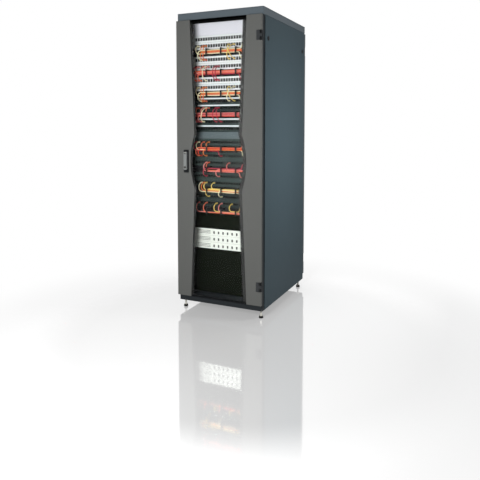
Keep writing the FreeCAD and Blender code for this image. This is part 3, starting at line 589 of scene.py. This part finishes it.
def faced(name, x, rings, material):
    """A turned piece that stands out of the panels' faces, its rings given in millimetres."""
    return turned(name, (x, PANEL_Y, 0), (0, -1, 0), [(h * MM, r * MM) for h, r in rings], material)


def booted(master, point, colour):
    """A sleeve for a cord's end, in the cord's colour."""
    twin = copied(master, (point[0] * MM, 0, point[2] * MM))
    twin.data.materials[0] = jacket[colour]
    return twin


def make_cords():
    master = faced("boot", 0, BOOT_RINGS, finish["rubber"])
    for group, rows in ROW_GROUPS.items():
        parts = []
        for row in rows:
            for route, colour in row_routes(row):
                parts.append(cord_curve("cord", route, colour))
                parts += [booted(master, point, colour) for point in (route[0], route[-1])]
        cords = joined(parts, f"patch_cord_set_{group}")
        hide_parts(f"patch_cords_{group}")
        carried(cords, "cabinet")
    bpy.data.objects.remove(master)


make_cords()


# Window: half widths of its edge and their heights above the body's underside, in millimetres
WINDOW_END = 197.0
WINDOW_WAIST = 166.5
WINDOW_BULGE = 196.5
WAIST_LOW = 748.0
WAIST_HIGH = 1095.0
BULGE_HEIGHT = 921.0
GLASS_LOW, GLASS_HIGH = ((corner[2] - BODY_LOW) / MM for corner in GLASS)
GLASS_BACK = GLASS[1][1]

# Painted shadow of the stiles on the glass: its width at each side, and how far it goes in behind the
# stile; then the black print along the top
STILE_SHADOW_WIDTHS = {-1: 15.0, 1: 32.0}
BORDER_LAP = 6.0
SHADOW_BAND_BEHIND = 0.15 * MM
SHADOW_BAND_STEPS = 96
HEAD_HEIGHT = 26.0 * MM
HEAD_THICK = 0.8 * MM


def window_half_width(height):
    """Straight from each end of the glass to the waist, and an arc between the waists."""
    if height <= WAIST_LOW:
        slope = (WINDOW_WAIST - WINDOW_END) / (WAIST_LOW - GLASS_LOW)
        return WINDOW_END + slope * (height - GLASS_LOW)
    if height >= WAIST_HIGH:
        slope = (WINDOW_END - WINDOW_WAIST) / (GLASS_HIGH - WAIST_HIGH)
        return WINDOW_WAIST + slope * (height - WAIST_HIGH)
    sagitta = WINDOW_BULGE - WINDOW_WAIST
    half_chord = (WAIST_HIGH - WAIST_LOW) / 2
    radius = (half_chord ** 2 + sagitta ** 2) / (2 * sagitta)
    return WINDOW_BULGE - radius + math.sqrt(radius ** 2 - (height - BULGE_HEIGHT) ** 2)


def glass_border(side, name):
    """A thin band of painted stile shadow just behind the glass; its UV runs from its inner edge (0) to
    the stile (1).
    """
    width = STILE_SHADOW_WIDTHS[side] + BORDER_LAP
    rise = (GLASS_HIGH - GLASS_LOW) / SHADOW_BAND_STEPS
    heights = [GLASS_LOW + rise * step for step in range(SHADOW_BAND_STEPS + 1)]

    def middle(height):
        return window_half_width(height) + BORDER_LAP - width / 2

    begin()
    start = (side * middle(GLASS_LOW) * MM, GLASS_BACK + SHADOW_BAND_BEHIND, GLASS[0][2] + width / 2 * MM)
    bpy.ops.mesh.primitive_plane_add(size=width * MM, rotation=(math.pi / 2, 0, 0), location=start)
    piece = settle(bpy.context.object, name, finish["border"])
    bpy.ops.object.mode_set(mode="EDIT")
    bpy.ops.mesh.select_all(action="DESELECT")
    bpy.ops.object.mode_set(mode="OBJECT")
    for vertex in piece.data.vertices:
        vertex.select = vertex.co.z > GLASS[0][2] + MM
    bpy.ops.object.mode_set(mode="EDIT")
    bpy.ops.mesh.delete(type="VERT")
    bpy.ops.mesh.select_all(action="SELECT")
    for below, above in zip(heights, heights[1:]):
        move = (side * (middle(above) - middle(below)) * MM, 0, (above - below) * MM)
        bpy.ops.mesh.extrude_region_move(TRANSFORM_OT_translate={"value": move})
    bpy.ops.object.mode_set(mode="OBJECT")
    across = piece.data.uv_layers.active or piece.data.uv_layers.new(name="across")
    for loop in piece.data.loops:
        place = piece.data.vertices[loop.vertex_index].co
        height = (place.z - BODY_LOW) / MM
        outer = abs(place.x) > middle(height) * MM
        across.data[loop.index].uv = (float(outer), (height - GLASS_LOW) / (GLASS_HIGH - GLASS_LOW))
    return carried(piece, "front_door")


def glass_head():
    """The black print along the top of the glass."""
    half = (WINDOW_END + BORDER_LAP) * MM
    top = GLASS[1][2]
    band = block("glass_border_top", (-half, GLASS_BACK, top - HEAD_HEIGHT),
                 (half, GLASS_BACK + HEAD_THICK, top), finish["port_black"], 0.3 * MM)
    carried(band, "front_door")


glass_head()
# painted shadows of the stiles, as dark bands on the glass at each side
glass_border(1, "painted_stile_shadow_right")
glass_border(-1, "painted_stile_shadow_left")


# Panel screws in the rail holes, zinc from the lowest light unit up and black below it
SCREW_X = 232.55 * MM
SCREW_STEP = 15.875 * MM
SCREW_RINGS = ((0.0, 5.0), (1.0, 5.0), (2.0, 4.4), (2.6, 3.2), (2.0, 1.6), (1.6, 0.6))
LIGHT_UNIT = 32
SCREW_SETS = {
    "zinc": ("zinc_steel", range(LIGHT_UNIT, UNIT_COUNT + 1)),
    "black": ("black_metal", range(1, LIGHT_UNIT)),
}


def panel_screws():
    first = faced("panel_screw", SCREW_X, SCREW_RINGS, finish["zinc"])
    for coat, (slot, units) in SCREW_SETS.items():
        screws = [copied(first, ((side - 1) * SCREW_X, 0, unit_middle(unit) + step * SCREW_STEP))
                  for unit in units for side in (-1, 1) for step in (-1, 1)]
        for screw in screws:
            screw.data.materials[0] = finish[coat]
        carried(joined(screws, f"panel_screws_{coat}"), "cabinet")
    bpy.data.objects.remove(first)


panel_screws()


# Black surrounds of the jacks, standing a little proud of the panels
JACK_UNITS = (38, 37, 35, 34, 32, 31, 29, 28, 26, 25, 23, 21, 20, 18, 17, 15, 14)
SURROUND = (14.4, 20.5)
SURROUND_SIDE = 0.6
SURROUND_OPENING = 11.2
SURROUND_THICK = 1.2


def jack_surround():
    """A flat plate, inset and opened, then given its thickness."""
    begin()
    bpy.ops.mesh.primitive_plane_add(size=1, rotation=(math.pi / 2, 0, 0), location=(0, PANEL_Y, 0))
    piece = bpy.context.object
    piece.scale = (SURROUND[0] * MM, SURROUND[1] * MM, 1)
    settle(piece, "jack_surround", finish["port_black"])
    bpy.ops.object.mode_set(mode="EDIT")
    bpy.ops.mesh.select_all(action="SELECT")
    bpy.ops.mesh.inset(thickness=SURROUND_SIDE * MM)
    opening = SURROUND_OPENING / (SURROUND[1] - 2 * SURROUND_SIDE)
    bpy.ops.transform.resize(value=(1, 1, opening), center_override=(0, PANEL_Y, 0))
    bpy.ops.mesh.delete(type="FACE")
    bpy.ops.object.mode_set(mode="OBJECT")
    solid = piece.modifiers.new("thickness", "SOLIDIFY")
    solid.thickness = SURROUND_THICK * MM
    solid.offset = 1.0
    bpy.ops.object.modifier_apply(modifier=solid.name)
    return piece


def jack_surrounds():
    first = jack_surround()
    copies = [copied(first, (jack_x(number) * MM, 0, unit_middle(unit)))
              for unit in JACK_UNITS for number in range(JACK_COUNT)]
    bpy.data.objects.remove(first)
    carried(joined(copies, "jack_surrounds"), "cabinet")


jack_surrounds()


# Label strips along the tops of the darker patch panels
LABEL_UNITS = (31, 29, 28, 26, 25)
LABEL_HALF_WIDTH = 205.0 * MM
LABEL_TOP = 21.0 * MM
LABEL_HEIGHT = 9.0 * MM
LABEL_THICK = 1.6 * MM


def label_strips():
    strips = []
    for unit in LABEL_UNITS:
        top = unit_middle(unit) + LABEL_TOP
        strips.append(block("label", (-LABEL_HALF_WIDTH, PANEL_Y - LABEL_THICK, top - LABEL_HEIGHT),
                            (LABEL_HALF_WIDTH, PANEL_Y, top), finish["label"], 0.5 * MM))
    carried(joined(strips, "label_strips"), "cabinet")


label_strips()


# Brushes in the roof's cable entries, one at each side of an entry and a slit apart
ENTRY_FROM_MIDDLE = 0.230
BRUSH_HALF_LENGTH = 0.149
BRUSH_ACROSS = (0.5 * MM, 29.5 * MM)
BRUSH_UNDER_ROOF = (3.2 * MM, 1 * MM)


def roof_brushes():
    middle = (ROOF[0][1] + ROOF[1][1]) / 2
    low, high = (ROOF[1][2] - drop for drop in BRUSH_UNDER_ROOF)
    bars = []
    for entry in (middle - ENTRY_FROM_MIDDLE, middle + ENTRY_FROM_MIDDLE):
        for side in (-1, 1):
            near, far = sorted(entry + side * reach for reach in BRUSH_ACROSS)
            bars.append(block("brush", (-BRUSH_HALF_LENGTH, near, low), (BRUSH_HALF_LENGTH, far, high),
                              finish["brush"], 0.5 * MM))
    carried(joined(bars, "roof_brushes"), "cabinet")


roof_brushes()


# Plate that closes the base's opening just behind the door, between two corners
BAFFLE = ((-0.22, -0.3115, 0.088), (0.22, -0.276, 0.0925))


def base_baffle():
    plate = block("base_baffle", *BAFFLE, finish["frame"], 0.8 * MM)
    carried(plate, "cabinet")


base_baffle()


# Stage: white studio with a faintly mirroring floor
FLOOR_SIZE = 60
FLOOR_TONE = (0.42, 0.42, 0.42, 1)
FLOOR_SEEN = 0.62
FLOOR_GLIMPSED = 0.12
MIRROR_SHARE = 0.47
MIRROR_CENTRE = (0.3, -0.6, 0.0)
MIRROR_EDGE = (0.95, 1.35)
WHITE_EDGE = (1.25, 2.0)

# World: how much of its white glossy rays see, and what falls on the paint
WORLD_SLOPE = (0.3, 0.05)
WORLD_LIMITS = (0.03, 0.15)
WORLD_ABOVE = (0.16, 0.28)
WORLD_SOFT = 0.2

# Lamps: place, aim, size and watts
LAMPS = {
    "key_front": ((0.25, -2.5, 1.2), (0, -0.4, 1.0), (0.8, 0.8), 54),
    "side_right": ((1.35, -0.05, 1.12), (0.3, -0.05, 1.12), (0.3, 0.4), 14),
    "top_back": ((0.4, 1.2, 4.0), (0, 0, 1.9), (2.0, 2.0), 40),
    "rear_left": ((-2.6, 2.6, 1.6), (0, 0, 1.0), (1.6, 1.8), 60),
}


def smooth_step(tree, value, near, far):
    """0 up to near, 1 from far on."""
    node = tree.nodes.new("ShaderNodeMapRange")
    node.interpolation_type = "SMOOTHSTEP"
    node.inputs["From Min"].default_value = near
    node.inputs["From Max"].default_value = far
    tree.links.new(value, node.inputs["Value"])
    return node.outputs[0]


def seen_directly(tree, path):
    """1 for rays from the camera and for those that go on through the glass."""
    return maths(tree, "MAXIMUM", path.outputs["Is Camera Ray"], path.outputs["Is Transmission Ray"])


def studio_floor():
    """A floor that mirrors the cabinet faintly near it and passes into plain white further out."""
    bpy.ops.mesh.primitive_plane_add(size=FLOOR_SIZE, location=(0, 0, 0))
    floor = bpy.context.object
    floor.name = "studio_floor"
    material, tree, shader = new_material("studio_floor_gloss")
    shader.inputs["Base Color"].default_value = FLOOR_TONE
    shader.inputs["Roughness"].default_value = 0.6
    shader.inputs["Specular IOR Level"].default_value = 0.0
    shader.inputs["Emission Color"].default_value = (1, 1, 1, 1)
    path = tree.nodes.new("ShaderNodeLightPath")
    seen = seen_directly(tree, path)
    glimpsed = maths(tree, "MULTIPLY", path.outputs["Is Glossy Ray"], FLOOR_GLIMPSED)
    shown = maths(tree, "MAXIMUM", seen, glimpsed)
    tree.links.new(maths(tree, "MULTIPLY", shown, FLOOR_SEEN), shader.inputs["Emission Strength"])
    mirror = tree.nodes.new("ShaderNodeBsdfGlossy")
    mirror.inputs["Roughness"].default_value = 0.05
    white = tree.nodes.new("ShaderNodeEmission")
    length = tree.nodes.new("ShaderNodeVectorMath")
    length.operation = "DISTANCE"
    length.inputs[1].default_value = MIRROR_CENTRE
    tree.links.new(tree.nodes.new("ShaderNodeTexCoord").outputs["Object"], length.inputs[0])
    distance = length.outputs["Value"]
    near = maths(tree, "SUBTRACT", 1.0, smooth_step(tree, distance, *MIRROR_EDGE))
    share = maths(tree, "MULTIPLY", maths(tree, "MULTIPLY", near, MIRROR_SHARE), seen)
    glossed = blend(tree, share, shader.outputs[0], mirror.outputs[0])
    beyond = maths(tree, "MULTIPLY", smooth_step(tree, distance, *WHITE_EDGE), seen)
    whitened = blend(tree, beyond, glossed, white.outputs[0])
    tree.links.new(whitened, tree.nodes["Material Output"].inputs["Surface"])
    floor.data.materials.append(material)


def studio_world():
    """White to the camera, dim in front of the cabinet for its glossy faces, soft on its paint."""
    world = bpy.data.worlds.new("studio")
    bpy.context.scene.world = world
    world.use_nodes = True
    tree = world.node_tree
    background = tree.nodes["Background"]
    path = tree.nodes.new("ShaderNodeLightPath")
    split = tree.nodes.new("ShaderNodeSeparateXYZ")
    tree.links.new(tree.nodes.new("ShaderNodeTexCoord").outputs["Generated"], split.inputs[0])
    clipped = tree.nodes.new("ShaderNodeClamp")
    clipped.inputs["Min"].default_value, clipped.inputs["Max"].default_value = WORLD_LIMITS
    behind = maths(tree, "MULTIPLY_ADD", split.outputs["Y"], *WORLD_SLOPE)
    tree.links.new(behind, clipped.inputs["Value"])
    above = smooth_step(tree, split.outputs["Z"], *WORLD_ABOVE)
    mirrored = maths(tree, "MAXIMUM", clipped.outputs[0], above)
    glossy = maths(tree, "MULTIPLY", path.outputs["Is Glossy Ray"], mirrored)
    diffuse = maths(tree, "MULTIPLY", path.outputs["Is Diffuse Ray"], WORLD_SOFT)
    level = maths(tree, "MAXIMUM", seen_directly(tree, path), maths(tree, "MAXIMUM", glossy, diffuse))
    tree.links.new(level, background.inputs["Strength"])
    background.inputs["Color"].default_value = (1, 1, 1, 1)


def soft_lamp(name, place, aim, size, power):
    bpy.ops.object.light_add(type="AREA", location=place)
    lamp = bpy.context.object
    lamp.name = name
    lamp.data.shape = "RECTANGLE"
    lamp.data.size, lamp.data.size_y = size
    lamp.data.energy = power
    lamp.visible_camera = False
    lamp.visible_glossy = False
    direction = Vector(aim) - Vector(place)
    lamp.rotation_euler = direction.to_track_quat("-Z", "Y").to_euler()


studio_floor()
studio_world()
for lamp_name, values in LAMPS.items():
    soft_lamp(lamp_name, *values)
bpy.context.scene.view_settings.view_transform = "Standard"
